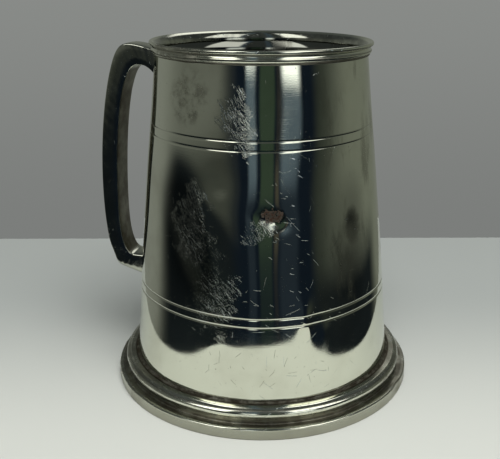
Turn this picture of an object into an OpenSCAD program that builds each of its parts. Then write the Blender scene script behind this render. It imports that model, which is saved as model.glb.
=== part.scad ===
// One-pint tankard: a spun tapered drum with a flared, beaded lip, a stepped
// hollow foot, a soldered-in bottom disc and a cast strap handle.
// Frame: Z is the drum's axis, z = 0 is the table, and the handle is on -X.

/* [Whole] */
// Height from the table to the top of the lip
height = 121; // [118:0.5:125]
// Diameter over the foot
foot_d = 108; // [107:0.5:112]
// Diameter over the lip band
lip_d = 75.2; // [74.8:0.2:76]

/* [Drum] */
// Outer diameter of the drum under the lip band
drum_top_d = 71.6; // [70:0.2:72]
// Outer diameter of the drum at the foot
drum_base_d = 93; // [91:0.5:94]
// Thickness of the spun wall
wall = 1.3; // [1:0.1:1.6]
// Heights of the four incised lines round the drum
line_heights = [34.8, 37.7, 91, 94];
// Width of an incised line
line_w = 0.9; // [0.5:0.1:1.2]
// Depth of an incised line
line_depth = 0.35; // [0.2:0.05:0.5]

/* [Lip band] */
// Height of the band's lower edge below the top of the lip
band_h = 4.5; // [4.4:0.1:4.8]
// Height of the drum's top edge below the top of the lip
lip_rise = 3; // [2.8:0.1:3.4]
// Radius of the lip's rounded edge
lip_edge_r = 0.65; // [0.55:0.05:0.7]
// Radius of the bead under the lip's edge
bead_r = 0.8; // [0.7:0.05:0.85]
// Radius of the fine bead at the bottom of the band
fine_bead_r = 0.45; // [0.4:0.05:0.5]
// Steps along the flare inside the lip
flare_steps = 6; // [3:1:10]

/* [Foot] */
// Height of the upright band that stands on the table
band_foot_h = 3.4; // [3.1:0.1:3.6]
// Radius of the rounding on top of the upright band
band_foot_round = 0.6; // [0.4:0.1:0.8]
// Radius of the half-round moulding above the band
torus_r = 1.8; // [1.7:0.1:1.9]
// How far the half-round moulding sits in from the band
torus_inset = 2.7; // [2.4:0.1:3]
// Height of the foot's top ledge, where the drum enters it
ledge_z = 9.2; // [9:0.1:9.5]
// Thickness of the foot's sheet metal
foot_t = 2; // [1.6:0.1:2.2]

/* [Bottom] */
// Height of the bottom disc's underside above the table
disc_z = 5.5; // [5:0.1:6]
// Thickness of the bottom disc
disc_t = 1.5; // [1.2:0.1:2]

/* [Handle] */
// Width of the handle across its strap
handle_w = 9.6; // [8:0.2:11]
// Points along each curve of the handle's outline
curve_steps = 14; // [8:1:20]

/* [Solder] */
// Leg of the solder fillet round the foot
foot_fillet = 0.9; // [0.5:0.1:1.2]
// Leg of the solder fillet inside, round the bottom disc
bottom_fillet = 1.4; // [0.8:0.1:2]
// Height of the solder that stands up round a handle joint
joint_t = 0.6; // [0.4:0.1:0.8]
// How far the solder spreads past the handle
joint_spread = 1.1; // [0.8:0.1:1.5]

/* [Hidden] */
$fn = 96;

eps = 0.01;
pewter = [0.66, 0.66, 0.64];
solder = [0.46, 0.44, 0.39];

foot_r = foot_d / 2;
lip_r = lip_d / 2;
drum_base_r = drum_base_d / 2;
drum_top_r = drum_top_d / 2;
// The drum's straight skirt ends above its solder seam, and the taper starts there
taper_z = ledge_z + foot_fillet;
band_z = height - band_h;
taper_slope = (drum_base_r - drum_top_r) / (band_z - taper_z);
drum_top_z = height - lip_rise;

// Outer radius of the drum at height z
function drum_r(z) = drum_base_r - taper_slope * max(0, z - taper_z);

// Point at t on a cubic curve with four control points
function cubic(p, t) = pow(1 - t, 3) * p[0] + 3 * t * pow(1 - t, 2) * p[1]
    + 3 * t * t * (1 - t) * p[2] + pow(t, 3) * p[3];

// Points along a chain of cubic curves, each starting where the last one ends
function chain(curves) = [
    for (c = curves)
        for (i = [1:curve_steps]) cubic(c, i / curve_steps)
];

// A notch in the drum's outline: in to the groove's bottom and out again
function notch(z) = [
    [drum_r(z - line_w / 2), z - line_w / 2],
    [drum_r(z) - line_depth, z],
    [drum_r(z + line_w / 2), z + line_w / 2]
];

// Outer side of the handle as [distance from the axis, height], from the lip down
outer_curves = [
    [[33, 116.2], [38, 117], [42.5, 118.7], [46.5, 118.8]],
    [[46.5, 118.8], [50.6, 119], [52.2, 114.9], [54.3, 108.2]],
    [[54.3, 108.2], [57.7, 96.3], [59.8, 79.3], [59.8, 63]],
    [[59.8, 63], [59.8, 52.5], [58.9, 44.5], [56.9, 38]],
    [[56.9, 38], [56.2, 35.9], [55.2, 35.5], [53.5, 34.9]],
    [[53.5, 34.9], [50.2, 33.8], [46.6, 32.7], [41, 30.9]]
];

// Inner side of the handle, from the foot end up
inner_curves = [
    [[41, 40.6], [43, 40.6], [45, 40.6], [48.2, 40.7]],
    [[48.2, 40.7], [52.4, 40.7], [53.5, 49], [53.5, 58.5]],
    [[53.5, 58.5], [53.5, 72], [52.3, 90], [49.4, 101.7]],
    [[49.4, 101.7], [47.6, 107.6], [46.2, 111.4], [42.2, 111.4]],
    [[42.2, 111.4], [39.8, 111.4], [38.2, 109.6], [36.4, 107.4]],
    [[36.4, 107.4], [35.4, 106.2], [34.4, 105.2], [33, 104]]
];

handle_outline = concat(
    [outer_curves[0][0]], chain(outer_curves), [inner_curves[0][0]], chain(inner_curves)
);

// Heights that the handle covers where it meets the drum
upper_joint = [106.9, 116.1];
lower_joint = [31.6, 40.6];

// Solid cone with the drum's outer surface, grown by extra
module drum_envelope(extra) {
    cylinder(h = taper_z, r = drum_base_r + extra);
    translate([0, 0, taper_z])
        cylinder(h = band_z - taper_z, r1 = drum_base_r + extra, r2 = drum_top_r + extra);
}

module body_drum() {
    color(pewter)
        rotate_extrude()
            polygon(concat(
                [[drum_base_r - wall, disc_z], [drum_base_r, disc_z], [drum_base_r, taper_z]],
                [for (z = line_heights) each notch(z)],
                [[drum_r(drum_top_z), drum_top_z], [drum_r(drum_top_z) - wall, drum_top_z],
                    [drum_base_r - wall, taper_z]]
            ));
}

// Flared lip that sits on the drum's top edge, with two beads round its outside
module rim_band() {
    mouth_r = drum_r(drum_top_z) - wall;
    edge = [lip_r - lip_edge_r, height - lip_edge_r];
    fine_bead = [lip_r - 1.2 - fine_bead_r, band_z + fine_bead_r];
    bead = [lip_r - 0.65 - bead_r, band_z + 2 * fine_bead_r - 0.2 + bead_r];
    flare = [
        edge + [-0.55, 0.4] * lip_edge_r, [mouth_r + 1, drum_top_z + 0.8 * lip_rise],
        [mouth_r + 0.1, drum_top_z + 0.45 * lip_rise], [mouth_r, drum_top_z]
    ];
    color(pewter)
        rotate_extrude()
            difference() {
                union() {
                    translate(edge)
                        circle(r = lip_edge_r);
                    translate(bead)
                        circle(r = bead_r);
                    translate(fine_bead)
                        circle(r = fine_bead_r);
                    polygon(concat(
                        [[drum_top_r - 1, band_z + 0.3], fine_bead + [0.15, 0],
                            bead + [0.2, -0.3], [lip_r - 1.1, height - 1.95],
                            edge + [0.3, -0.5] * lip_edge_r],
                        [for (i = [0:flare_steps]) cubic(flare, i / flare_steps)]
                    ));
                }
                // Seat on the drum
                polygon([
                    [0, band_z - 1], [drum_r(band_z - 1), band_z - 1],
                    [drum_r(drum_top_z), drum_top_z], [0, drum_top_z]
                ]);
            }
}

// Stepped moulding, hollow underneath, with a collar that holds the drum's skirt
module foot_ring() {
    torus_z = ledge_z - 0.3 - torus_r;
    torus_c = foot_r - torus_inset - torus_r;
    band_top = band_foot_h + band_foot_round;
    collar_t = foot_t * 0.8;
    color(pewter)
        rotate_extrude()
            difference() {
                union() {
                    translate([drum_base_r, 0])
                        square([foot_r - drum_base_r, band_foot_h]);
                    translate([drum_base_r, 0])
                        square([foot_r - band_foot_round - drum_base_r, band_top]);
                    translate([foot_r - band_foot_round, band_foot_h])
                        circle(r = band_foot_round);
                    translate([torus_c, torus_z])
                        circle(r = torus_r);
                    // Crease between the band and the half-round
                    translate([torus_c, band_foot_h])
                        square([torus_r - 0.4, torus_z - band_foot_h]);
                    translate([drum_base_r, torus_z - torus_r])
                        square([torus_c - drum_base_r, 2 * torus_r]);
                    // Narrow ledge on top
                    translate([drum_base_r, torus_z])
                        square([torus_c - 1 - drum_base_r, ledge_z - torus_z]);
                }
                // Hollow underside in two steps, round the collar
                translate([0, -1])
                    square([foot_r - foot_t, band_foot_h + 0.2]);
                translate([0, -1])
                    square([torus_c + 0.2, disc_z + 1]);
                translate([drum_base_r + collar_t, -1])
                    square([torus_c + 0.2 - drum_base_r - collar_t, ledge_z - foot_t + 1]);
            }
}

module bottom_disc() {
    color(pewter)
        translate([0, 0, disc_z])
            cylinder(h = disc_t, r = drum_base_r - wall);
}

module handle_strap(grow) {
    rotate([90, 0, 0])
        linear_extrude(height = handle_w + 2 * grow, center = true)
            mirror([1, 0])
                polygon(handle_outline);
}

module handle() {
    color(pewter)
        difference() {
            handle_strap(0);
            drum_envelope(0);
            translate([0, 0, band_z - eps])
                cylinder(h = band_h, r = lip_r + 0.1);
        }
}

// Solder standing up from the drum round a handle joint that covers heights span
module joint_solder(span) {
    pad_w = handle_w + 2 * joint_spread;
    color(solder)
        difference() {
            intersection() {
                drum_envelope(joint_t);
                translate([-drum_base_r - joint_t, -pad_w / 2, span[0] - joint_spread])
                    cube([drum_base_r, pad_w, span[1] - span[0] + 2 * joint_spread]);
            }
            drum_envelope(0);
            handle_strap(0);
            translate([0, 0, band_z - eps])
                cylinder(h = band_h, r = lip_r);
        }
}

module handle_upper_solder() {
    joint_solder([upper_joint[0], min(upper_joint[1], band_z - joint_spread)]);
}

module handle_lower_solder() {
    joint_solder(lower_joint);
}

// Sloping fillet on the ledge, against the drum's skirt
module foot_solder_seam() {
    color(solder)
        rotate_extrude()
            polygon([
                [drum_base_r, ledge_z],
                [drum_base_r + foot_fillet, ledge_z],
                [drum_base_r, ledge_z + foot_fillet]
            ]);
}

// Concave fillet inside the drum, on the bottom disc
module bottom_solder_seam() {
    inner_r = drum_base_r - wall;
    color(solder)
        rotate_extrude()
            difference() {
                translate([inner_r - bottom_fillet, disc_z + disc_t])
                    square([bottom_fillet, bottom_fillet]);
                translate([inner_r - bottom_fillet, disc_z + disc_t + bottom_fillet])
                    circle(r = bottom_fillet);
            }
}

body_drum();
rim_band();
foot_ring();
bottom_disc();
handle();
handle_upper_solder();
handle_lower_solder();
foot_solder_seam();
bottom_solder_seam();
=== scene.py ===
"""A worn one-pint tankard of polished pewter, dented and scratched, on a pale table."""
import math

import bpy
import numpy as np
from mathutils import Matrix, Vector


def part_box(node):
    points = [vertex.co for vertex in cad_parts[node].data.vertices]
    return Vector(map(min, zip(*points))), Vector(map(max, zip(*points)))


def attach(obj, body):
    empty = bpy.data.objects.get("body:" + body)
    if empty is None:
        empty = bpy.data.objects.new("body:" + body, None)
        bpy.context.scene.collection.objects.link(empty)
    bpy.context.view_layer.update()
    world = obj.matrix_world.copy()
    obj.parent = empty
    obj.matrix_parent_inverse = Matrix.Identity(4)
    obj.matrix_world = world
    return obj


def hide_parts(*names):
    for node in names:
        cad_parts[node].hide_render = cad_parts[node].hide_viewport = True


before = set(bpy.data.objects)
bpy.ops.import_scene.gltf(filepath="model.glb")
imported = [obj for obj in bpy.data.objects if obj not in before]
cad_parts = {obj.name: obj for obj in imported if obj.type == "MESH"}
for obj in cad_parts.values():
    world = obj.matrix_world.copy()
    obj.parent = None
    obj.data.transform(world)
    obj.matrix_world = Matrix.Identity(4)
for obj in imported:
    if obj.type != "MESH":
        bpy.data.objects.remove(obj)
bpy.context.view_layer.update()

MM = 0.001

# ---------------------------------------------------------------- the frame, in millimetres


def node_box(node):
    """Lowest and highest corner of a CAD node, in millimetres."""
    low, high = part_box(node)
    return Vector(low) / MM, Vector(high) / MM


drum_high = node_box("body_drum")[1]
rim_low, rim_high = node_box("rim_band")
foot_high = node_box("foot_ring")[1]
disc_high = node_box("bottom_disc")[1]
seam_high = node_box("foot_solder_seam")[1]
strap_low, strap_high = node_box("handle")

HEIGHT = rim_high.z
BAND_Z = rim_low.z
DRUM_TOP = drum_high.z
LIP_R = rim_high.x
FOOT_R = foot_high.x
DRUM_R = drum_high.x
LEDGE_Z = foot_high.z
TAPER_Z = seam_high.z
DISC_TOP = disc_high.z
WALL = DRUM_R - disc_high.x
STRAP_W = strap_high.y - strap_low.y
# The lip overhangs the top of the drum by this much
LIP_OVERHANG = 1.8
DRUM_TOP_R = LIP_R - LIP_OVERHANG
# Incised lines round the drum
LINE_HEIGHTS = (34.8, 37.7, 91.0, 94.0)
LINE_HALF = 0.45
LINE_DEPTH = 0.13
DISC_T = 1.5


def drum_r(z):
    """Outer radius of the undented drum at height z."""
    slope = (DRUM_R - DRUM_TOP_R) / (BAND_Z - TAPER_Z)
    return DRUM_R - slope * np.maximum(0.0, z - TAPER_Z)


# ---------------------------------------------------------------- dents and bends

# The camera stands this far round from -Y, and angles below are counted from it
CAMERA_TURN = math.radians(14)


def dent(angle, z, at, height, across, tall, depth, lean=0.0):
    """Radial change, in millimetres, of one round-bottomed dent centred at an angle and height.

    at and height are in degrees and millimetres; a negative depth is a bump.
    """
    along = np.radians(angle - at) * drum_r(z)
    up = z - height
    cos, sin = math.cos(math.radians(lean)), math.sin(math.radians(lean))
    u = (along * cos + up * sin) / across
    v = (up * cos - along * sin) / tall
    return -depth * np.exp(-(u * u + v * v))


def ease(x):
    """Smooth step from 0 to 1."""
    x = np.clip(x, 0.0, 1.0)
    return x * x * (3 - 2 * x)


def sheet_shift(angle, z):
    """How far the dented sheet stands off the true drum. angle is in degrees from the camera."""
    turn = np.radians(angle)
    # Squeezed flanks and a full front, fading out towards the lip and the foot
    middle = ease((z - 12) / 30) * ease((106 - z) / 34)
    shift = middle * (0.75 * np.cos(4 * turn) * np.cos(turn / 2) ** 2)
    # Slow wobble of hand-spun metal
    shift = shift + 0.05 * np.sin(5 * turn + z / 17) + 0.04 * np.sin(3 * turn - z / 11 + 1.3)
    shift = shift + 0.015 * np.sin(13 * turn + z / 6.5)
    # Sharp knock in the front, with a softer hollow round it
    shift = shift + dent(angle, z, 4.5, 69.8, 4.2, 2.2, 0.55, lean=-18)
    shift = shift + dent(angle, z, 6.5, 68.6, 1.7, 1.5, 0.3, lean=30)
    shift = shift + dent(angle, z, 2.0, 69.6, 1.8, 1.1, 0.16, lean=10)
    shift = shift + dent(angle, z, 5, 69.5, 9, 7, 0.2)
    # Long dent down the left flank
    shift = shift + dent(angle, z, -30, 57, 8.5, 21, 1.0, lean=24)
    # Dents in the right flank
    shift = shift + dent(angle, z, 46, 64, 2.2, 3.6, 0.22)
    shift = shift + dent(angle, z, 50, 60, 7, 16, 0.2)
    # Shallow dimple
    shift = shift + dent(angle, z, -19, 80, 4.5, 5, 0.22)
    # Bumps low in the front, pushed out from inside
    shift = shift + dent(angle, z, 18, 37, 2.4, 5.0, -0.46)
    shift = shift + dent(angle, z, 28, 31, 1.7, 4.0, -0.14)
    shift = shift + dent(angle, z, -14, 27, 5, 3.5, -0.08)
    return shift


def lip_shift(angle, z):
    """Up or down shift of the bent top: the front and the right side are knocked down a little."""
    top = ease((z - 60) / (HEIGHT - 60))
    tilt = 0.36 * (np.sin(np.radians(angle)) + 1.0) + 0.34 * ease((150 - np.abs(angle)) / 130)
    return -top * tilt


def place(angle, r, z):
    """Point at an angle from the camera, a radius and a height, as x, y, z arrays."""
    turn = np.radians(angle) + CAMERA_TURN
    return r * np.sin(turn), -r * np.cos(turn), z


# ---------------------------------------------------------------- meshes


def add_mesh(name, points, faces, smooth=True):
    """Object from points in millimetres and faces."""
    mesh = bpy.data.meshes.new(name)
    mesh.from_pydata([tuple(p) for p in (np.asarray(points) * MM)], [], faces)
    mesh.update()
    mesh.polygons.foreach_set("use_smooth", [smooth] * len(mesh.polygons))
    piece = bpy.data.objects.new(name, mesh)
    bpy.context.scene.collection.objects.link(piece)
    return piece


def grid_faces(rows, columns, close_rows=False):
    """Quads of a grid whose columns close on themselves, and its rows too if asked."""
    faces = []
    for i in range(rows if close_rows else rows - 1):
        here = i * columns
        above = ((i + 1) % rows) * columns
        for j in range(columns):
            k = (j + 1) % columns
            faces.append((here + j, here + k, above + k, above + j))
    return faces


def lathe(name, outline, segments, warp=None):
    """Ring turned from a closed outline of (radius, height), run anticlockwise as seen with +r right.

    warp(angle, r, z) returns the bent radius and height.
    """
    outline = np.array(outline, float)
    angle = np.linspace(-180, 180, segments, endpoint=False)
    points = []
    for r, z in outline:
        ring_r = np.full(segments, r)
        ring_z = np.full(segments, z)
        if warp:
            ring_r, ring_z = warp(angle, ring_r, ring_z)
        points.append(np.stack(place(angle, ring_r, ring_z), axis=1))
    return add_mesh(name, np.concatenate(points), grid_faces(len(outline), segments, True))


def arc(centre, radius, start, end, steps):
    """Points on an arc of an outline, from start to end in degrees."""
    sweep = np.radians(np.linspace(start, end, steps))
    return [(centre[0] + radius * math.cos(a), centre[1] + radius * math.sin(a)) for a in sweep]


def cubic(p, t):
    """Point at t on a cubic curve."""
    p = np.array(p, float)
    return (1 - t) ** 3 * p[0] + 3 * t * (1 - t) ** 2 * p[1] + 3 * t * t * (1 - t) * p[2] + t ** 3 * p[3]


def line(start, end, steps):
    """Points on a straight stretch of an outline, without its end point."""
    return [
        (start[0] + (end[0] - start[0]) * i / steps, start[1] + (end[1] - start[1]) * i / steps)
        for i in range(steps)
    ]


# ---------------------------------------------------------------- drum


def drum_rows():
    """Heights of the drum's outer rows: even, with close rows across each incised line."""
    rows = list(np.arange(LEDGE_Z - 0.4, DRUM_TOP - 0.3, 0.72))
    near = [LINE_HALF * k / 3 for k in range(-5, 6)]
    for height in LINE_HEIGHTS:
        rows = [z for z in rows if abs(z - height) > LINE_HALF * 2]
        rows += [height + step for step in near]
    return sorted(rows)


def line_cut(z):
    """Depth of the incised lines at height z, with burnished, rounded lips."""
    cut = 0.0
    for height in LINE_HEIGHTS:
        cut = cut + LINE_DEPTH * np.exp(-((z - height) / (0.5 * LINE_HALF)) ** 2)
    return cut


def make_drum():
    """Spun shell with the dents and the incised lines on its outside."""
    outer = [(drum_r(z), z) for z in drum_rows()]
    top = outer[-1][1]
    inner = [(drum_r(z) - WALL, z) for z in np.linspace(top, DISC_TOP - DISC_T, 26)]
    outline = [(DRUM_R, DISC_TOP - DISC_T)] + outer + inner

    def warp(angle, r, z):
        outside = r > drum_r(z) - WALL / 2
        r = r + sheet_shift(angle, z) - outside * line_cut(z)
        return r, z + lip_shift(angle, z)

    return lathe("drum_shell", outline, 400, warp)


# ---------------------------------------------------------------- lip band


def make_rim():
    """Flared lip with a rounded edge, a bead and a fine ring below it."""
    edge = (LIP_R - 0.68, HEIGHT - 0.68)
    bead = (LIP_R - 1.45, BAND_Z + 1.5)
    ring = (LIP_R - 1.62, BAND_Z + 0.42)
    mouth = drum_r(DRUM_TOP) - WALL
    outline = line((ring[0] - 0.5, BAND_Z + 0.06), (ring[0] - 0.2, BAND_Z + 0.03), 2)
    outline += arc(ring, 0.4, -90, 48, 9)
    outline += arc(bead, 0.78, -46, 50, 12)
    outline += arc((LIP_R - 0.85, HEIGHT - 1.95), 0.24, 215, 140, 4)
    outline += arc(edge, 0.64, -62, 128, 16)
    # Concave flare down to the drum's inside
    rise = HEIGHT - DRUM_TOP
    flare = ((edge[0] - 0.4, edge[1] + 0.5), (mouth + 1.0, DRUM_TOP + 0.8 * rise),
             (mouth + 0.1, DRUM_TOP + 0.45 * rise), (mouth + 0.02, DRUM_TOP - 0.5))
    outline += [tuple(cubic(flare, t)) for t in np.linspace(0.06, 1, 16)]
    outline += [(mouth + 0.4, DRUM_TOP - 0.6)]

    def warp(angle, r, z):
        turn = np.radians(angle)
        outer = ease((r - (LIP_R - 2.6)) / 1.6)
        low = ease((BAND_Z + 3.2 - z) / 1.4) * outer
        # Bruised at the front left: the beads are wavy and the edge is rolled in
        bruise = np.exp(-((angle + 40) / 13) ** 2)
        wave = 0.2 * np.sin(11 * turn) + 0.12 * np.sin(23 * turn + 1)
        rolled = np.exp(-((angle + 58) / 16) ** 2) * ease((z - HEIGHT + 2.2) / 1.6)
        r = r + sheet_shift(angle, np.full_like(z, BAND_Z)) - low * bruise * (0.3 + wave)
        r = r - rolled * (0.25 + 0.18 * np.sin(19 * turn)) * outer
        r = r + 0.05 * np.sin(7 * turn) * outer - 0.02
        z = z - rolled * (0.2 + 0.1 * np.sin(26 * turn)) + low * bruise * wave * 0.5
        return r, z + lip_shift(angle, z)

    return lathe("lip_band", outline, 360, warp)


# ---------------------------------------------------------------- foot


def make_foot():
    """Upright band, half-round and ledge outside, and the hollow underside inside."""
    torus_r = 1.8
    torus = (FOOT_R - 2.7 - torus_r, LEDGE_Z - 0.3 - torus_r)
    band_top = 4.0
    round_r = 0.6
    collar_r = DRUM_R + 1.6
    collar_low = DISC_TOP - DISC_T
    outline = arc((FOOT_R - 0.45, 0.4), 0.4, -90, 0, 5)
    outline += line((FOOT_R - 0.05, 1.0), (FOOT_R, band_top - round_r), 3)
    outline += arc((FOOT_R - round_r, band_top - round_r), round_r, 0, 92, 10)
    outline += line((FOOT_R - 1.0, band_top - 0.03), (torus[0] + 1.9, band_top - 0.1), 4)
    outline += arc((torus[0] + 1.65, band_top + 0.2), 0.28, -80, -190, 6)
    outline += arc(torus, torus_r, -44, 74, 18)
    outline += arc((torus[0] - 0.1, LEDGE_Z - 0.22), 0.22, 20, 90, 5)
    outline += line((torus[0] - 0.6, LEDGE_Z), (DRUM_R + 0.1, LEDGE_Z - 0.02), 4)
    outline += line((DRUM_R + 0.02, LEDGE_Z - 0.05), (DRUM_R + 0.02, collar_low), 3)
    outline += line((DRUM_R + 0.1, collar_low), (collar_r, collar_low), 2)
    outline += line((collar_r, collar_low + 0.2), (collar_r, LEDGE_Z - 2.0), 2)
    outline += line((collar_r + 0.1, LEDGE_Z - 2.0), (torus[0] + 0.2, LEDGE_Z - 2.2), 2)
    outline += line((torus[0] + 0.2, LEDGE_Z - 2.4), (torus[0] + 0.2, 2.4), 3)
    outline += line((torus[0] + 0.3, 2.2), (FOOT_R - 2.2, 2.2), 3)
    outline += line((FOOT_R - 2.0, 2.0), (FOOT_R - 1.95, 0.3), 3)
    outline += [(FOOT_R - 1.7, 0.0)]

    def warp(angle, r, z):
        high = ease(z / 2.0)
        turn = np.radians(angle)
        # Small knocks round the edge of the band
        edge = ease((r - FOOT_R + 2.5) / 1.5) * high
        knocks = np.exp(-((angle - 63) / 3.5) ** 2) * 0.5 + np.exp(-((angle + 52) / 5) ** 2) * 0.35
        knocks = knocks + np.exp(-((angle - 18) / 2.2) ** 2) * 0.18
        drift = 0.06 * np.sin(6 * turn + 0.6) + 0.03 * np.sin(17 * turn)
        r = r - edge * knocks + high * (drift - 0.09)
        z = z - edge * knocks * 0.3 + high * 0.03 * np.sin(9 * turn + 1)
        return r, z

    return lathe("foot_moulding", outline, 400, warp)


# ---------------------------------------------------------------- bottom and its solder


def make_bottom():
    """Spun disc: slightly dished, with a ring near its edge and a small centre mark."""
    radii = np.concatenate([np.linspace(0.4, 43, 60), np.linspace(43.4, DRUM_R - WALL, 8)])
    under = DISC_TOP - DISC_T
    top = []
    for r in radii[::-1]:
        ring = 0.18 * math.exp(-((r - 33) / 0.8) ** 2) + 0.3 * math.exp(-((r / 1.6) ** 2))
        dish = 0.35 * (1 - (r / (DRUM_R - WALL)) ** 2)
        top.append((r, DISC_TOP - dish - ring))
    outline = [(radii[0], under), (DRUM_R - WALL, under)] + top
    disc = lathe("bottom_plate", outline, 180)
    mesh = disc.data
    # Close the small hole on the axis with a cap on each face
    ring_count = len(outline)
    caps = [list(range(180))[::-1], [(ring_count - 1) * 180 + j for j in range(180)]]
    points = [tuple(v.co / MM) for v in mesh.vertices]
    faces = [tuple(p.vertices) for p in mesh.polygons if not (
        min(p.vertices) < 180 and max(p.vertices) >= (ring_count - 1) * 180)]
    bpy.data.objects.remove(disc)
    return add_mesh("bottom_plate", points, faces + caps)


def make_seam(name, corner, leg, inward, segments, unevenness):
    """Bead of solder in the corner between a wall and a level face, uneven as it was run."""
    side = -1 if inward else 1
    # Concave face from the level leg up to the wall
    face = arc((corner[0] + leg, corner[1] + leg), leg * 0.98, 270, 180, 7)
    if inward:
        face = [(2 * corner[0] - r, z) for r, z in face]
    bed = [(corner[0] - side * 0.12, corner[1] + leg), (corner[0] - side * 0.12, corner[1] - 0.12),
           (corner[0] + side * leg, corner[1] - 0.12)]
    outline = face + bed if not inward else (face + bed)[::-1]

    def warp(angle, r, z):
        turn = np.radians(angle)
        away = (r - corner[0]) * side > 0.2 * leg
        up = z > corner[1] + 0.2 * leg
        rough = np.sin(37 * turn + 2 * np.sin(5 * turn)) * np.sin(11 * turn + 0.7)
        r = r + side * away * unevenness * rough
        z = z + up * unevenness * 0.8 * np.sin(29 * turn + 1.7 * np.sin(4 * turn))
        return r, z

    return lathe(name, outline, segments, warp)


# ---------------------------------------------------------------- handle

# Outer and inner sides as [distance from the axis, height], each a chain of cubic curves
OUTER = (
    ((35.3, 116.4), (38.6, 117.2), (42.5, 118.7), (46.5, 118.8)),
    ((46.5, 118.8), (50.6, 119.0), (52.2, 114.9), (54.3, 108.2)),
    ((54.3, 108.2), (57.7, 96.3), (59.8, 79.3), (59.8, 63)),
    ((59.8, 63), (59.8, 52.5), (58.9, 44.5), (56.9, 38.0)),
    ((56.9, 38.0), (56.2, 35.9), (55.2, 35.5), (53.5, 34.9)),
    ((53.5, 34.9), (50.2, 33.8), (46.6, 32.7), (42.9, 31.5)),
)
INNER = (
    ((36.1, 107.0), (37.8, 109.4), (39.8, 111.4), (42.2, 111.4)),
    ((42.2, 111.4), (46.2, 111.4), (47.6, 107.6), (49.4, 101.7)),
    ((49.4, 101.7), (52.3, 90), (53.5, 72), (53.5, 58.5)),
    ((53.5, 58.5), (53.5, 51.7), (52.97, 45.8), (51.42, 42.9)),
    ((51.42, 42.9), (50.6, 41.4), (49.6, 40.7), (48.2, 40.7)),
    ((48.2, 40.7), (46.5, 40.65), (44.8, 40.6), (42.9, 40.6)),
)
# Rings along each pair of curves, following their lengths
RING_COUNTS = (24, 26, 60, 36, 12, 18)
# Corner radii: crisp round the hand hole and down the grip, softer under the lower arm
CORNER_R = 0.5
LOWER_CORNER_R = 1.9
CROWN = 0.16


def strap_section(thickness, width, outer_r):
    """Rounded and slightly crowned section as (across the thickness 0 to 1, across the width)."""
    half = width / 2
    points = []
    for across, side, start in ((1, 1, 0), (0, 1, 90), (0, -1, 180), (1, -1, 270)):
        corner = outer_r if across else CORNER_R
        centre = (thickness - corner if across else corner, side * (half - corner))
        points += arc(centre, corner, start + 5, start + 85, 6)
        # Two more points on the flat that follows
        if start in (0, 180):
            flat_y = half if start == 0 else -half
            xs = (0.62, 0.38) if start == 0 else (0.38, 0.62)
            points += [(thickness * x, flat_y) for x in xs]
        else:
            flat_x = 0.0 if start == 90 else thickness
            sign = 1 if start == 90 else -1
            points += [(flat_x, sign * half * y) for y in (0.5, 0.17, -0.17, -0.5)]
    # Crown: the broad inner and outer faces swell a touch, the flanks hollow by the same
    crowned = []
    for x, y in points:
        away = x / thickness - 0.5
        swell = CROWN * (1 - (y / half) ** 2) * math.copysign(1, away) * (abs(away) > 0.35)
        crowned.append(((x + swell - math.copysign(CROWN, away) * (abs(away) > 0.35)) / thickness, y))
    return crowned


def make_handle():
    """Strap swept between its outer and inner sides."""
    rings = []
    for outer, inner, count in zip(OUTER, INNER, RING_COUNTS):
        for i in range(count):
            rings.append((cubic(outer, i / count), cubic(inner, i / count)))
    rings.append((cubic(OUTER[-1], 1), cubic(INNER[-1], 1)))
    points = []
    for i, (out, inn) in enumerate(rings):
        thickness = float(np.linalg.norm(out - inn))
        # Small file marks and rubs left along the casting
        rub = 0.03 * math.sin(i * 0.9) * math.sin(i * 0.31 + 1)
        lower = float(ease((i / len(rings) - 0.74) / 0.08))
        outer_r = CORNER_R + (LOWER_CORNER_R - CORNER_R) * lower
        for share, across in strap_section(thickness, STRAP_W - 0.1 + rub, outer_r):
            at = inn + (out - inn) * share
            points.append((-at[0], across, at[1]))
    columns = len(points) // len(rings)
    faces = grid_faces(len(rings), columns)
    faces.append(tuple(range(columns))[::-1])
    faces.append(tuple(range((len(rings) - 1) * columns, len(rings) * columns)))
    return add_mesh("strap_handle", points, faces)


def side_height(curves, distance):
    """Height of a side of the handle at a distance from the axis, near one end."""
    samples = [cubic(curves, t) for t in np.linspace(0, 1, 60)]
    samples.sort(key=lambda p: p[0])
    return float(np.interp(distance, [p[0] for p in samples], [p[1] for p in samples]))


def make_joint_solder(name, outer, inner, spread, rise):
    """Concave fillet of solder round one end of the handle, from the drum up its sides."""
    middle = (side_height(outer, 44) + side_height(inner, 44)) / 2 if outer is OUTER[-1] else 111.6
    surface = float(drum_r(np.array(middle)))
    steps = 56
    rows = []
    # Each row: how far it stands out from the drum, and how far it spreads past the strap
    for out, past in ((-0.25, spread), (0.02, spread), (rise * 0.18, spread * 0.45),
                      (rise * 0.45, spread * 0.16), (rise, 0.03), (rise, -0.25), (-0.25, -0.25)):
        at = surface + max(out, 0)
        high = side_height(outer, at) if outer is OUTER[0] else side_height(inner, at)
        low = side_height(inner, at) if outer is OUTER[0] else side_height(outer, at)
        high = min(high, BAND_Z - 0.05 - spread)
        half_h = (high - low) / 2 + past
        half_w = (STRAP_W - 0.1) / 2 + past
        centre = (high + low) / 2
        row = []
        for k in range(steps):
            turn = 2 * math.pi * k / steps
            # Rounded rectangle as a superellipse
            c, s = math.cos(turn), math.sin(turn)
            y = half_w * math.copysign(abs(c) ** 0.36, c)
            z = centre + half_h * math.copysign(abs(s) ** 0.36, s)
            lump = 1 + 0.12 * math.sin(5 * turn + 1) + 0.08 * math.sin(9 * turn)
            base = float(drum_r(np.array(z)))
            stand = out * (lump if 0 < out < rise else 1)
            row.append((-math.sqrt(max(base * base - y * y, 0)) - stand, y, z))
        rows.append(row)
    points = [p for row in rows[::-1] for p in row]
    return add_mesh(name, points, grid_faces(len(rows), steps, True))


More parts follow.
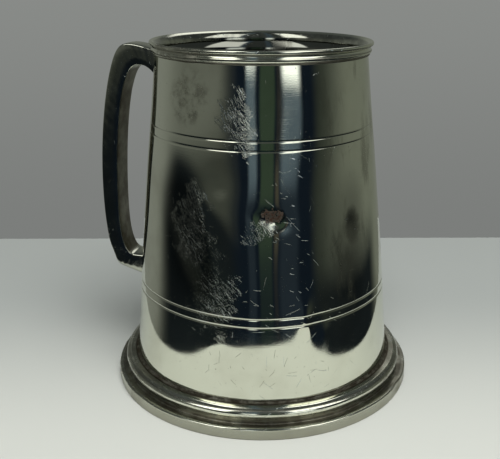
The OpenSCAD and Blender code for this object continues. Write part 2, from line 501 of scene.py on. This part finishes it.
# ---------------------------------------------------------------- material graphs


class Graph:
    """Short ways to add the nodes that the materials use."""

    def __init__(self, tree):
        self.tree = tree
        self.tree.nodes.clear()

    def add(self, kind, inputs=None, **settings):
        node = self.tree.nodes.new("ShaderNode" + kind)
        for key, value in settings.items():
            setattr(node, key, value)
        for key, value in (inputs or {}).items():
            self.feed(node, key, value)
        return node

    def feed(self, node, key, value):
        if isinstance(value, bpy.types.NodeSocket):
            self.tree.links.new(value, node.inputs[key])
        elif value is not None:
            node.inputs[key].default_value = value

    def math(self, operation, a, b=None, c=None):
        return self.add("Math", {0: a, 1: b, 2: c}, operation=operation).outputs[0]

    def vector(self, operation, a, b=None, scale=None):
        inputs = {0: a, 1: b}
        if scale is not None:
            inputs["Scale"] = scale
        node = self.add("VectorMath", inputs, operation=operation)
        return node.outputs["Vector"]

    def ramp(self, value, start, end, low=0.0, high=1.0):
        """low at start and high at end, with an eased change between them."""
        inputs = {"Value": value, "From Min": start, "From Max": end, "To Min": low, "To Max": high}
        node = self.add("MapRange", inputs, interpolation_type="SMOOTHSTEP")
        return node.outputs["Result"]

    def band(self, value, start, end, soft):
        """1 between start and end, falling to 0 over soft on both sides."""
        rise = self.ramp(value, start - soft, start + soft)
        fall = self.ramp(value, end - soft, end + soft, 1, 0)
        return self.math("MULTIPLY", rise, fall)

    def spot(self, s, z, at, radius, soft):
        """1 inside an ellipse of two radii about a point of the unrolled drum."""
        u = self.math("DIVIDE", self.math("SUBTRACT", s, at[0]), radius[0])
        v = self.math("DIVIDE", self.math("SUBTRACT", z, at[1]), radius[1])
        square = self.math("ADD", self.math("MULTIPLY", u, u), self.math("MULTIPLY", v, v))
        return self.ramp(square, 1 + soft, 1 - soft)

    def mix(self, share, a, b):
        node = self.add("Mix", {0: share, 6: a, 7: b}, data_type="RGBA")
        return node.outputs[2]

    def noise(self, vector, scale, detail=2.0, roughness=0.5, distortion=0.0):
        inputs = {"Vector": vector, "Scale": scale, "Detail": detail, "Roughness": roughness,
                  "Distortion": distortion}
        return self.add("TexNoise", inputs).outputs[0]

    def most(self, *values):
        """The largest of several values."""
        result = values[0]
        for value in values[1:]:
            result = self.math("MAXIMUM", result, value)
        return result


def strokes(g, s, z, density, length, width, lean, spread, share, seed):
    """Short straight scratches, at most one in each cell of a scattered pattern.

    density is in cells a millimetre, length and width in millimetres, lean and spread in degrees,
    and share is the part of the cells that hold one.
    """
    at = g.add("CombineXYZ", {0: g.math("ADD", s, seed * 17.3), 1: z}).outputs[0]
    at = g.vector("SCALE", at, scale=density)
    cell = g.add("TexVoronoi", {"Vector": at, "Scale": 1.0, "Randomness": 1.0},
                 voronoi_dimensions="2D")
    local = g.vector("SUBTRACT", at, cell.outputs["Position"])
    chance = g.add("SeparateColor", {0: cell.outputs["Color"]})
    angle = g.math("MULTIPLY_ADD", chance.outputs[0], math.radians(2 * spread),
                   math.radians(lean - spread))
    back = g.math("MULTIPLY", angle, -1)
    turned = g.add("VectorRotate", {"Vector": local, "Angle": back}, rotation_type="Z_AXIS")
    part = g.add("SeparateXYZ", {0: turned.outputs[0]})
    reach = g.math("MULTIPLY", chance.outputs[1], length * density * 0.5)
    bent = g.math("MULTIPLY", g.math("MULTIPLY", part.outputs[0], part.outputs[0]), 0.12)
    off = g.math("ABSOLUTE", g.math("SUBTRACT", part.outputs[1], bent))
    thin = g.ramp(off, width * density * 0.5, width * density * 0.2)
    past = g.math("SUBTRACT", g.math("ABSOLUTE", part.outputs[0]), reach)
    short = g.ramp(past, 0.0, -0.12)
    present = g.math("LESS_THAN", chance.outputs[2], share)
    return g.math("MULTIPLY", g.math("MULTIPLY", thin, short), present)


def scuffs(g, s, z, lean, scale, stretch, amount):
    """Fibrous rubbing marks along one lean, in degrees. amount is from 0, few, to 1, many."""
    at = g.add("CombineXYZ", {0: s, 1: z}).outputs[0]
    turned = g.add("VectorRotate", {"Vector": at, "Angle": -math.radians(lean)},
                   rotation_type="Z_AXIS").outputs[0]
    squeezed = g.vector("MULTIPLY", turned, (scale / stretch, scale, 1))
    grain = g.noise(squeezed, 1.0, 4, 0.62, 0.4)
    return g.ramp(grain, 0.62 - 0.12 * amount, 0.74 - 0.12 * amount)


PEWTER = (0.76, 0.775, 0.66, 1)
TARNISH = (0.42, 0.40, 0.31, 1)
GRIME_AND_SHADE = (0.065, 0.05, 0.032, 1)
RAW = (0.62, 0.72, 0.8, 1)
RUST = (0.036, 0.018, 0.012, 1)
# Colour that painted shade darkens a surface towards
SHADE = (0.13, 0.135, 0.125, 1)
# Radius at which the drum's surface is unrolled for marks laid out by place
UNROLL_R = 41.0


def metal(name, build, base_rough=0.1):
    """Pewter material.

    build(g, s, z, spot) returns masks from 0 to 1 by name: dirt, dull, scratch, rust and shade.
    """
    material = bpy.data.materials.new(name)
    material.use_nodes = True
    g = Graph(material.node_tree)
    spot = g.vector("SCALE", g.add("TexCoord").outputs["Object"], scale=1 / MM)
    part = g.add("SeparateXYZ", {0: spot})
    # Unrolled place: s runs round the drum in millimetres from the camera side, z up
    swing = g.add("VectorRotate", {"Vector": spot, "Angle": -CAMERA_TURN}, rotation_type="Z_AXIS")
    flat = g.add("SeparateXYZ", {0: swing.outputs[0]})
    turn = g.math("ARCTAN2", flat.outputs[0], g.math("MULTIPLY", flat.outputs[1], -1))
    s = g.math("MULTIPLY", turn, UNROLL_R)
    z = part.outputs[2]
    masks = build(g, s, z, spot)
    dirt, dull, scratch = (masks.get(key, 0.0) for key in ("dirt", "dull", "scratch"))
    cloud = g.noise(spot, 0.05, 3, 0.6)
    tarnish = g.ramp(cloud, 0.45, 0.75, 0.0, 0.3)
    colour = g.mix(tarnish, PEWTER, TARNISH)
    colour = g.mix(g.math("MULTIPLY", dull, 0.35), colour, TARNISH)
    colour = g.mix(scratch, colour, RAW)
    # Painted shade, where a shade mask puts it
    colour = g.mix(masks.get("shade", 0.0), colour, SHADE)
    # Grime, and painted shade on the handle and the foot, in one colour
    colour = g.mix(dirt, colour, GRIME_AND_SHADE)
    colour = g.mix(masks.get("rust", 0.0), colour, RUST)
    # Fine spinning marks run round the piece and fade in and out
    fine = g.add("CombineXYZ", {0: g.math("MULTIPLY", s, 0.05), 1: g.math("MULTIPLY", z, 5.0)})
    spun = g.noise(fine.outputs[0], 1.0, 3, 0.6)
    haze = g.noise(spot, 0.11, 3, 0.55)
    rough = g.ramp(haze, 0.3, 0.8, base_rough * 0.7, base_rough * 1.6)
    rough = g.math("ADD", rough, g.math("MULTIPLY", g.math("SUBTRACT", spun, 0.5), base_rough * 0.8))
    rough = g.math("MULTIPLY_ADD", dull, 0.22, rough)
    rough = g.math("MULTIPLY_ADD", scratch, 0.22, rough)
    rough = g.math("MULTIPLY_ADD", dirt, 0.4, rough)
    height = g.math("MULTIPLY", spun, 0.0022)
    height = g.math("MULTIPLY_ADD", scratch, -0.03, height)
    height = g.math("MULTIPLY_ADD", g.noise(spot, 2.2, 2, 0.5), 0.002, height)
    bump = g.add("Bump", {"Height": height, "Distance": MM, "Strength": 1.0})
    # Rust isn't metallic
    bare = g.ramp(masks["rust"], 0.75, 1.0, 1.0, 0.0) if "rust" in masks else 1.0
    shader = g.add("BsdfPrincipled", {"Base Color": colour, "Metallic": bare, "Roughness": rough,
                                      "Normal": bump.outputs[0]})
    output = g.add("OutputMaterial")
    g.tree.links.new(shader.outputs[0], output.inputs[0])
    return material


def from_axis(g, spot):
    """Distance from the tankard's axis, in millimetres."""
    part = g.add("SeparateXYZ", {0: spot})
    x, y = part.outputs[0], part.outputs[1]
    return g.math("SQRT", g.math("MULTIPLY_ADD", x, x, g.math("MULTIPLY", y, y)))


def drum_masks(g, s, z, spot):
    """Scratch clusters, stains and dirty lines of the drum."""
    bold = strokes(g, s, z, 0.42, 3.4, 0.17, -50, 12, 0.8, 1)
    long = strokes(g, s, z, 0.1, 9, 0.1, -48, 22, 0.6, 2)
    short = strokes(g, s, z, 0.34, 2.2, 0.12, -45, 40, 0.45, 3)
    hair = strokes(g, s, z, 0.2, 5.5, 0.08, -20, 90, 0.6, 4)
    chips = strokes(g, s, z, 0.36, 3.0, 0.3, -30, 45, 0.8, 13)
    patch = g.noise(spot, 0.12, 3, 0.6)
    # Patches are laid out on a wavering sheet, so their edges are ragged
    other = g.vector("ADD", spot, (31, 7, 53))
    sway_s = g.math("SUBTRACT", g.noise(spot, 0.17, 3, 0.65), 0.5)
    sway_z = g.math("SUBTRACT", g.noise(other, 0.17, 3, 0.65), 0.5)
    ragged_s = g.math("MULTIPLY_ADD", sway_s, 22, s)
    ragged_z = g.math("MULTIPLY_ADD", sway_z, 22, z)

    def ragged(at, radius, soft):
        return g.spot(ragged_s, ragged_z, at, radius, soft)

    upper = ragged((-8.5, 98), (5.0, 10), 0.5)
    left = ragged((-24, 65), (7, 13), 0.6)
    left_low = ragged((-15.5, 46), (7, 13), 0.6)
    low = ragged((2, 24), (26, 9), 0.6)
    front = ragged((8, 58), (11, 22), 0.7)
    right = ragged((14, 92), (4, 5), 0.7)
    beside_knock = ragged((8.8, 70), (3.6, 5.5), 0.5)
    below_knock = ragged((-0.8, 66.4), (4.4, 3.6), 0.6)
    nicked = g.most(ragged((33.5, 64), (1.6, 5), 0.5), ragged((12.5, 86), (3.5, 5), 0.6))
    sparse = g.math("MULTIPLY", g.ramp(patch, 0.5, 0.6), 0.35)
    fibres = g.most(scuffs(g, s, z, -64, 2.4, 9, 0.75), scuffs(g, s, z, -42, 3.0, 11, 0.6),
                    g.math("MULTIPLY", scuffs(g, s, z, 20, 2.8, 9, 0.3), 0.7))
    rubbed = g.most(left, g.math("MULTIPLY", left_low, 0.6), g.math("MULTIPLY", upper, 0.7))
    rubbed = g.math("MULTIPLY", rubbed, g.ramp(patch, 0.3, 0.6, 0.4, 1.0))
    rubbed = g.most(rubbed, g.math("MULTIPLY", below_knock, 0.6))
    scratch = g.most(
        g.math("MULTIPLY", bold, upper),
        g.math("MULTIPLY", chips, g.most(beside_knock, nicked)),
        g.math("MULTIPLY", long, g.most(g.math("MULTIPLY", front, 0.8), left, sparse)),
        g.math("MULTIPLY", short, g.most(g.math("MULTIPLY", front, 0.7), right)),
        g.math("MULTIPLY", hair, g.most(low, g.math("MULTIPLY", front, 0.6), sparse)),
        g.math("MULTIPLY", fibres, rubbed),
    )
    knock_z = g.math("MULTIPLY_ADD", g.noise(spot, 0.45, 4, 0.65), 4.5, z)
    knock_s = g.math("MULTIPLY_ADD", g.noise(other, 0.45, 4, 0.65), 4.5, s)
    stain = g.math("MULTIPLY", g.spot(s, z, (-27, 106), (8, 8), 0.7),
                   g.ramp(g.noise(spot, 0.2, 4, 0.65), 0.42, 0.68))
    # Streaky stains round the right flank, and one in its dent
    smear = g.noise(g.vector("MULTIPLY", spot, (1, 1, 0.3)), 0.13, 4, 0.6)
    smear = g.math("MULTIPLY", g.ramp(smear, 0.48, 0.66), g.ramp(s, 18, 26))
    smear = g.math("MULTIPLY", smear, g.ramp(z, 33, 40))
    smear = g.most(smear, g.math("MULTIPLY", g.spot(knock_s, knock_z, (36, 66), (3.5, 6), 0.8), 0.9))
    dull = g.most(stain, g.math("MULTIPLY", rubbed, 0.25), g.math("MULTIPLY", smear, 0.6))
    lines = 0.0
    for height in LINE_HEIGHTS:
        lines = g.most(g.band(z, height - 0.16, height + 0.16, 0.12), lines)
    foot_edge = g.ramp(z, TAPER_Z + 0.5, TAPER_Z - 0.3)
    specks = g.ramp(g.noise(spot, 1.4, 1, 0.5), 0.76, 0.8)
    dark_hair = g.math("MULTIPLY", strokes(g, s, z, 0.3, 4.0, 0.12, -30, 90, 0.7, 21),
                       g.spot(s, z, (0, 21), (27, 7), 0.6))
    dirt = g.most(g.math("MULTIPLY", lines, 0.3), foot_edge, g.math("MULTIPLY", specks, 0.5),
                  g.math("MULTIPLY", dark_hair, 0.8),
                  g.math("MULTIPLY", smear, 0.25), g.math("MULTIPLY", stain, 0.3))
    rust = g.spot(knock_s, knock_z, (5.7, 73.4), (3.9, 2.5), 0.5)
    rust = g.math("MULTIPLY", rust, g.ramp(g.noise(spot, 1.6, 4, 0.65), 0.36, 0.56, 0.72, 1.0))
    # Painted shade: the inside of the drum is darkened more than its outside
    slope = (DRUM_R - DRUM_TOP_R) / (BAND_Z - TAPER_Z)
    middle = g.math("MULTIPLY_ADD", z, -slope, DRUM_R + slope * TAPER_Z - WALL / 2)
    inside = g.ramp(g.math("SUBTRACT", from_axis(g, spot), middle), 0.3, -0.3)
    inside = g.math("MULTIPLY", inside, g.ramp(z, TAPER_Z - 1, TAPER_Z))
    return {"dirt": dirt, "dull": dull, "scratch": scratch, "rust": rust,
            "shade": g.math("MULTIPLY", inside, 0.8)}


def rim_masks(g, s, z, spot):
    """Dirty creases between the beads, and nicks."""
    creases = g.most(g.band(z, BAND_Z + 0.7, BAND_Z + 0.95, 0.15), g.ramp(z, BAND_Z + 0.25, BAND_Z),
                     g.band(z, BAND_Z + 2.2, BAND_Z + 2.7, 0.3))
    creases = g.math("MULTIPLY", creases, g.ramp(from_axis(g, spot), LIP_R - 2.4, LIP_R - 2.0))
    wear = g.noise(spot, 0.35, 3, 0.6)
    nicks = strokes(g, s, z, 0.5, 1.4, 0.22, 0, 90, 0.35, 5)
    bruised = g.math("MULTIPLY", g.spot(s, z, (-34, 119), (14, 4), 0.6), g.ramp(wear, 0.3, 0.6, 0.3, 0.8))
    # Painted shade on the flare inside, as dark as the inside of the drum
    boundary = g.math("MULTIPLY_ADD", z, 0.3, LIP_R - 1.6 - 0.3 * HEIGHT)
    inside = g.ramp(g.math("SUBTRACT", from_axis(g, spot), boundary), 0.3, -0.3)
    return {"dirt": g.most(g.math("MULTIPLY", creases, 0.75), g.math("MULTIPLY", bruised, 0.5)),
            "dull": g.most(g.ramp(wear, 0.5, 0.75, 0, 0.4), bruised),
            "scratch": g.math("MULTIPLY", nicks, 0.8),
            "shade": g.math("MULTIPLY", inside, g.ramp(wear, 0.35, 0.65, 0.75, 0.5))}


def foot_masks(g, s, z, spot):
    """Brown grime in the creases, the cove and on the ledge, painted shade under the half-round, and
    bright worn mouldings.
    """
    wear = g.noise(spot, 0.16, 4, 0.65)
    distance = from_axis(g, spot)
    cove = g.math("MULTIPLY", g.band(z, 3.7, 5.0, 0.3), g.ramp(distance, FOOT_R - 0.9, FOOT_R - 1.5))
    upper = g.band(z, LEDGE_Z - 0.75, LEDGE_Z - 0.5, 0.15)
    ledge = g.math("MULTIPLY", g.ramp(z, LEDGE_Z - 0.25, LEDGE_Z - 0.05),
                   g.ramp(distance, DRUM_R + 2.2, DRUM_R + 0.9))
    ground = g.math("MULTIPLY", g.ramp(z, 0.9, 0.1), 0.7)
    # Painted shade under the half-round
    under = g.math("MULTIPLY", g.band(z, 4.3, 5.7, 0.4), 0.55)
    band = g.ramp(z, 3.8, 3.2, 0.0, 0.5)
    blotch = g.ramp(g.noise(spot, 0.7, 4, 0.6), 0.5, 0.74, 0.0, 0.35)
    # The flanks are darker and browner than the front
    flank = g.ramp(g.math("ABSOLUTE", g.math("SUBTRACT", s, 2)), 18, 46, 0.0, 0.66)
    flank = g.math("MULTIPLY", flank, g.ramp(wear, 0.25, 0.6, 0.35, 1.0))
    dirt = g.most(g.math("MULTIPLY", cove, g.ramp(wear, 0.3, 0.6, 0.55, 0.85)),
                  g.math("MULTIPLY", upper, 0.75), ledge, ground, under, band, blotch, flank)
    dull = g.most(g.ramp(wear, 0.5, 0.75, 0.0, 0.4), g.ramp(z, 3.0, 1.0, 0, 0.35))
    scratch = g.most(strokes(g, s, z, 0.4, 2.6, 0.1, 5, 30, 0.5, 7),
                     strokes(g, s, z, 0.9, 0.8, 0.14, 0, 90, 0.35, 8))
    return {"dirt": dirt, "dull": dull, "scratch": g.math("MULTIPLY", scratch, 0.6)}


def handle_masks(g, s, z, spot):
    """Nicks and rubs, with painted shade on the side towards the drum and patchy painted shade all over.
    """
    along = g.add("SeparateXYZ", {0: spot}).outputs[0]
    wear = g.noise(spot, 0.15, 4, 0.6)
    nicks = strokes(g, along, z, 0.4, 1.2, 0.22, 60, 60, 0.4, 9)
    rubs = strokes(g, along, z, 0.2, 4.0, 0.08, 80, 20, 0.5, 10)
    # Painted shade on the side towards the drum, carried in the grime mask
    facing = g.add("SeparateXYZ", {0: g.add("NewGeometry").outputs["Normal"]}).outputs[0]
    drum_side_shade = g.math("MULTIPLY", g.ramp(facing, 0.45, 0.8), g.ramp(wear, 0.3, 0.7, 0.9, 0.65))
    dirt = g.most(g.ramp(g.noise(spot, 0.9, 2, 0.5), 0.68, 0.78, 0, 0.4), drum_side_shade)
    # Patchy painted shade darkens the whole strap
    return {"dirt": dirt, "dull": g.ramp(wear, 0.45, 0.75, 0.0, 0.4),
            "scratch": g.math("MULTIPLY", g.most(nicks, rubs), g.ramp(wear, 0.35, 0.6)),
            "shade": g.ramp(wear, 0.3, 0.7, 0.5, 0.3)}


def solder_masks(g, s, z, spot):
    """Grimy, dull solder."""
    blotch = g.noise(spot, 0.35, 4, 0.6)
    return {"dirt": g.ramp(blotch, 0.3, 0.7, 0.7, 0.95), "dull": g.ramp(blotch, 0.3, 0.7)}


def joint_masks(g, s, z, spot):
    """Cleaner solder round the handle's ends, with dark flux in its lumps."""
    blotch = g.noise(spot, 0.7, 4, 0.6)
    return {"dirt": g.ramp(blotch, 0.45, 0.7, 0.1, 0.7), "dull": g.ramp(blotch, 0.3, 0.7, 0.3, 0.9)}


def bottom_masks(g, s, z, spot):
    """Dull inside bottom with drink stains towards its edge, and painted shade over its top face."""
    part = g.add("SeparateXYZ", {0: spot})
    stain = g.noise(spot, 0.07, 5, 0.65)
    edge = g.ramp(from_axis(g, spot), DRUM_R - WALL - 5, DRUM_R - WALL)
    scratch = strokes(g, part.outputs[0], part.outputs[1], 0.12, 9, 0.2, 0, 90, 0.8, 12)
    # The top face, inside the tankard, is darkened by painted shade
    return {"dirt": g.most(g.ramp(stain, 0.5, 0.72, 0, 0.5), g.math("MULTIPLY", edge, 0.6)),
            "dull": g.ramp(stain, 0.3, 0.6, 0.3, 0.8), "scratch": scratch,
            "shade": g.ramp(z, DISC_TOP - 1, DISC_TOP - 0.8, 0.0, 0.5)}


# ---------------------------------------------------------------- pieces onto the frame


def finish_piece(piece, material, slot, *nodes):
    """Gives a piece its material, hangs it under the frame's root and hides the CAD nodes it stands for.
    """
    piece.data.materials.append(material)
    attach(piece, "root")
    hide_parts(*nodes)


def make_tankard():
    solder = metal("grimy_solder", solder_masks, 0.3)
    joint = metal("joint_solder", joint_masks, 0.22)
    finish_piece(make_drum(), metal("drum_pewter", drum_masks, 0.05), "drum", "body_drum")
    finish_piece(make_rim(), metal("rim_pewter", rim_masks, 0.08), "rim", "rim_band")
    finish_piece(make_foot(), metal("foot_pewter", foot_masks, 0.07), "foot", "foot_ring")
    finish_piece(make_bottom(), metal("bottom_pewter", bottom_masks, 0.25), "bottom", "bottom_disc")
    finish_piece(make_handle(), metal("handle_pewter", handle_masks, 0.1), "handle", "handle")
    upper = make_joint_solder("upper_joint_solder", OUTER[0], INNER[0], 1.0, 0.9)
    finish_piece(upper, joint, "solder", "handle_upper_solder")
    lower = make_joint_solder("lower_joint_solder", OUTER[-1], INNER[-1], 1.0, 0.9)
    finish_piece(lower, joint, "solder", "handle_lower_solder")
    seam = make_seam("foot_seam", (DRUM_R, LEDGE_Z), 0.8, False, 360, 0.04)
    finish_piece(seam, solder, "solder", "foot_solder_seam")
    inner = make_seam("bottom_seam", (DRUM_R - WALL, DISC_TOP), 1.35, True, 240, 0.14)
    finish_piece(inner, solder, "solder", "bottom_solder_seam")


# ---------------------------------------------------------------- stage, light and camera

TABLE_BACK = 0.1395
# Painted light: the table top pales between these distances behind the tankard's axis
TABLE_DIM, TABLE_PALE = 0.068, -0.068


def camera_frame():
    """Turn from the camera's own frame, which looks along +Y, into the CAD frame."""
    return Matrix.Rotation(CAMERA_TURN, 4, "Z")


def plane(name, corners, material):
    """Flat four-cornered sheet of the stage, in metres."""
    mesh = bpy.data.meshes.new(name)
    mesh.from_pydata(corners, [], [(0, 1, 2, 3)])
    sheet = bpy.data.objects.new(name, mesh)
    bpy.context.scene.collection.objects.link(sheet)
    sheet.matrix_world = camera_frame()
    mesh.materials.append(material)
    return sheet


def table_material(name):
    """Matt table top with painted light, paler towards the camera."""
    material = bpy.data.materials.new(name)
    material.use_nodes = True
    g = Graph(material.node_tree)
    part = g.add("SeparateXYZ", {0: g.add("TexCoord").outputs["Object"]})
    # Painted light, paler towards the camera
    near = g.ramp(part.outputs[1], TABLE_DIM, TABLE_PALE)
    tone = g.mix(near, (0.41, 0.435, 0.425, 1), (0.665, 0.685, 0.65, 1))
    shader = g.add("BsdfDiffuse", {"Color": tone})
    output = g.add("OutputMaterial")
    g.tree.links.new(shader.outputs[0], output.inputs[0])
    return material


def wall_material():
    """Grey wall that glows with painted light, darker towards the bottom, and that only its front shows.
    """
    material = bpy.data.materials.new("wall_grey")
    material.use_nodes = True
    g = Graph(material.node_tree)
    height = g.add("SeparateXYZ", {0: g.add("TexCoord").outputs["Object"]}).outputs[2]
    # Painted light given off by the wall itself, darker towards the bottom
    tone = g.mix(g.ramp(height, 0.0, 0.16), (0.2, 0.208, 0.2, 1), (0.252, 0.262, 0.25, 1))
    glow = g.add("Emission", {"Color": tone})
    clear = g.add("BsdfTransparent")
    back = g.add("NewGeometry").outputs["Backfacing"]
    both = g.add("MixShader", {0: back, 1: glow.outputs[0], 2: clear.outputs[0]})
    output = g.add("OutputMaterial")
    g.tree.links.new(both.outputs[0], output.inputs[0])
    return material


def make_stage():
    """Pale table, a grey wall behind that only the camera sees, and the board the metal mirrors."""
    far = 3.0
    table = plane("table", [(-far, -far, 0), (far, -far, 0), (far, far, 0), (-far, far, 0)],
                  table_material("table_pale"))
    table.visible_glossy = False
    wall = plane("wall", [(-far, TABLE_BACK, 0), (far, TABLE_BACK, 0),
                          (far, TABLE_BACK, far), (-far, TABLE_BACK, far)], wall_material())
    for flag in ("visible_glossy", "visible_diffuse", "visible_shadow", "visible_transmission"):
        setattr(wall, flag, False)
    make_mirrored_table()


# The board that the metal mirrors as its table: how far its front and back edges lie from the axis,
# half its width at each, and the radius of its front corners. Millimetres, in the camera's frame.
BOARD_FRONT = 124
BOARD_BACK = 180
BOARD_FRONT_HALF = 84
BOARD_BACK_HALF = 135
BOARD_CORNER = 14


def board_outline():
    """The board's outline, with its two front corners rounded."""
    slope = (BOARD_BACK_HALF - BOARD_FRONT_HALF) / (BOARD_FRONT + BOARD_BACK)
    lean = math.degrees(math.atan(slope))
    right = arc((BOARD_FRONT_HALF - BOARD_CORNER, BOARD_CORNER - BOARD_FRONT), BOARD_CORNER,
                -90, -lean, 8)
    left = [(-x, y) for x, y in right[::-1]]
    return left + right + [(BOARD_BACK_HALF, BOARD_BACK), (-BOARD_BACK_HALF, BOARD_BACK)]


def make_mirrored_table():
    """Plain board in the table's material, which only reflections show."""
    lift = 0.05 * MM
    points = [(x * MM, y * MM, lift) for x, y in board_outline()]
    mesh = bpy.data.meshes.new("mirrored_table")
    mesh.from_pydata(points, [], [tuple(range(len(points)))])
    sheet = bpy.data.objects.new("mirrored_table", mesh)
    bpy.context.scene.collection.objects.link(sheet)
    sheet.matrix_world = camera_frame()
    mesh.materials.append(table_material("mirrored_table_pale"))
    sheet.visible_camera = False
    sheet.visible_diffuse = False
    sheet.visible_shadow = False


# Lit strips the metal mirrors: start and end round the room, softness and height of the white part
WHITE_STRIPS = ((-15, -6, 2.0, 4.3), (21, 40, 3.5, 3.2))
# Soft lamps: start and end round the room, lowest and highest, and strength. All in degrees
LAMPS = ((-60, -29, 26, 74, 2.2), (27, 74, 26, 64, 1.8), (150, 174, 30, 60, 1.2))


def make_room():
    """The room that the metal mirrors, by direction: walls, a dark front with lit strips, ceiling."""
    world = bpy.data.worlds.new("room")
    bpy.context.scene.world = world
    world.use_nodes = True
    g = Graph(world.node_tree)
    look = g.add("TexCoord").outputs["Generated"]
    swing = g.add("VectorRotate", {"Vector": look, "Angle": -CAMERA_TURN}, rotation_type="Z_AXIS")
    part = g.add("SeparateXYZ", {0: swing.outputs[0]})
    turn = g.math("ARCTAN2", part.outputs[0], g.math("MULTIPLY", part.outputs[1], -1))
    az = g.math("DEGREES", turn)
    el = g.math("DEGREES", g.math("ARCSINE", part.outputs[2]))
    # Grey walls, warmer and lighter on the left, dim towards the front on the right
    right = g.ramp(az, -40, 40)
    left_wall = g.mix(g.ramp(az, -85, -125), (0.13, 0.138, 0.122, 1), (0.205, 0.216, 0.195, 1))
    right_wall = g.mix(g.ramp(az, 58, 104), (0.03, 0.036, 0.03, 1), (0.16, 0.172, 0.142, 1))
    walls = g.mix(right, left_wall, right_wall)
    # The two walls meet in one tone behind the tankard
    walls = g.mix(g.ramp(g.math("ABSOLUTE", az), 130, 168), walls, (0.18, 0.19, 0.166, 1))
    # Soft shade over the left wall, reaching further round low down
    low = g.math("MAXIMUM", g.math("MINIMUM", el, 1), -11)
    reach = g.math("MULTIPLY_ADD", low, 5.1, -40)
    beyond = g.math("SUBTRACT", az, reach)
    shaded = g.math("MULTIPLY", g.ramp(beyond, -14, 12), g.ramp(az, -22, -32))
    walls = g.mix(g.math("MULTIPLY", shaded, 0.74), walls, (0.02, 0.024, 0.02, 1))
    # Dark floor in front of the table, below the walls
    edge = g.ramp(az, 0, 30, -8.5, -13.3)
    below = g.ramp(g.math("SUBTRACT", el, edge), 2.0, -2.0)
    front = g.band(az, -101, 126, 11)
    colour = g.mix(g.math("MULTIPLY", below, front), walls, (0.009, 0.012, 0.014, 1))
    # The unlit side of the room, in front
    unlit = g.math("MULTIPLY", g.ramp(az, -46, -22), g.ramp(az, 63, 51))
    colour = g.mix(g.math("MULTIPLY", unlit, g.ramp(el, 26, 16)), colour, (0.006, 0.01, 0.017, 1))
    # Dim ceiling
    colour = g.mix(g.ramp(el, 12, 34), colour, (0.07, 0.078, 0.076, 1))
    # Lit strips: white high up, bluish and fading below
    for start, end, soft, white_el in WHITE_STRIPS:
        strip = g.band(az, start, end, soft)
        dusk = g.math("MULTIPLY", strip, g.ramp(el, -7, 1.5, 0.12, 1.0))
        colour = g.mix(dusk, colour, (0.095, 0.13, 0.165, 1))
        glow = g.math("MULTIPLY", strip, g.ramp(el, white_el - 1.0, white_el + 0.7))
        colour = g.mix(g.math("MULTIPLY", glow, g.ramp(el, 24, 12)), colour, (1.5, 1.55, 1.5, 1))
    # Green strip between them, with a brownish edge
    green = g.math("MULTIPLY", g.band(az, -1.5, 13, 1.6), g.ramp(el, -14, -2, 0.25, 1.0))
    green = g.math("MULTIPLY", green, g.ramp(el, 24, 12))
    colour = g.mix(green, colour, (0.034, 0.053, 0.036, 1))
    brown = g.math("MULTIPLY", g.band(az, 15, 19, 1.2), g.ramp(el, -12, -5, 0.2, 1.0))
    colour = g.mix(g.math("MULTIPLY", brown, g.ramp(el, 2, 0, 0.3, 1)), colour, (0.06, 0.055, 0.042, 1))
    # Soft lamps overhead
    for az_start, az_end, el_start, el_end, power in LAMPS:
        lamp = g.math("MULTIPLY", g.band(az, az_start, az_end, 3), g.band(el, el_start, el_end, 3))
        colour = g.mix(lamp, colour, (power, power, 0.96 * power, 1))
    # Seen by the camera itself, and lighting the table, the room is plain grey
    seen = g.add("LightPath").outputs["Is Glossy Ray"]
    plain = (0.25, 0.26, 0.25, 1)
    background = g.add("Background", {"Color": g.mix(seen, plain, colour)})
    output = g.add("OutputWorld")
    g.tree.links.new(background.outputs[0], output.inputs[0])


def make_lamp():
    """Large soft lamp overhead and in front."""
    lamp = bpy.data.lights.new("overhead_lamp", "AREA")
    lamp.shape = "RECTANGLE"
    lamp.size = 0.9
    lamp.size_y = 0.7
    lamp.energy = 14.5
    lamp.color = (1.0, 0.99, 0.96)
    holder = bpy.data.objects.new("overhead_lamp", lamp)
    bpy.context.scene.collection.objects.link(holder)
    place_at = Vector((0.15, -0.55, 1.1))
    aim = (Vector((0, 0, 0.03)) - place_at).to_track_quat("-Z", "Y")
    holder.matrix_world = camera_frame() @ Matrix.LocRotScale(place_at, aim, None)
    holder.visible_glossy = False


def make_camera():
    """Camera at the photograph's place: distance, height, pitch, and small yaw and roll."""
    distance, height = 0.26173, 0.14254
    pitch, yaw, roll = math.radians(18.90), -0.016, -0.008
    data = bpy.data.cameras.new("camera")
    data.lens = 54.66
    data.sensor_width = 36
    data.clip_start = 0.01
    camera = bpy.data.objects.new("camera", data)
    bpy.context.scene.collection.objects.link(camera)
    right = Vector((math.cos(yaw), -math.sin(yaw), 0))
    ahead = Vector((math.sin(yaw) * math.cos(pitch), math.cos(yaw) * math.cos(pitch), -math.sin(pitch)))
    up = right.cross(ahead)
    rolled_right = right * math.cos(roll) + up * math.sin(roll)
    rolled_up = up * math.cos(roll) - right * math.sin(roll)
    turn = Matrix((rolled_right, rolled_up, -ahead)).transposed().to_4x4()
    at = Matrix.Translation((0, -distance, height))
    camera.matrix_world = camera_frame() @ at @ turn
    bpy.context.scene.camera = camera


make_camera()
make_tankard()
make_stage()
make_room()
make_lamp()
bpy.context.scene.view_settings.view_transform = "Standard"
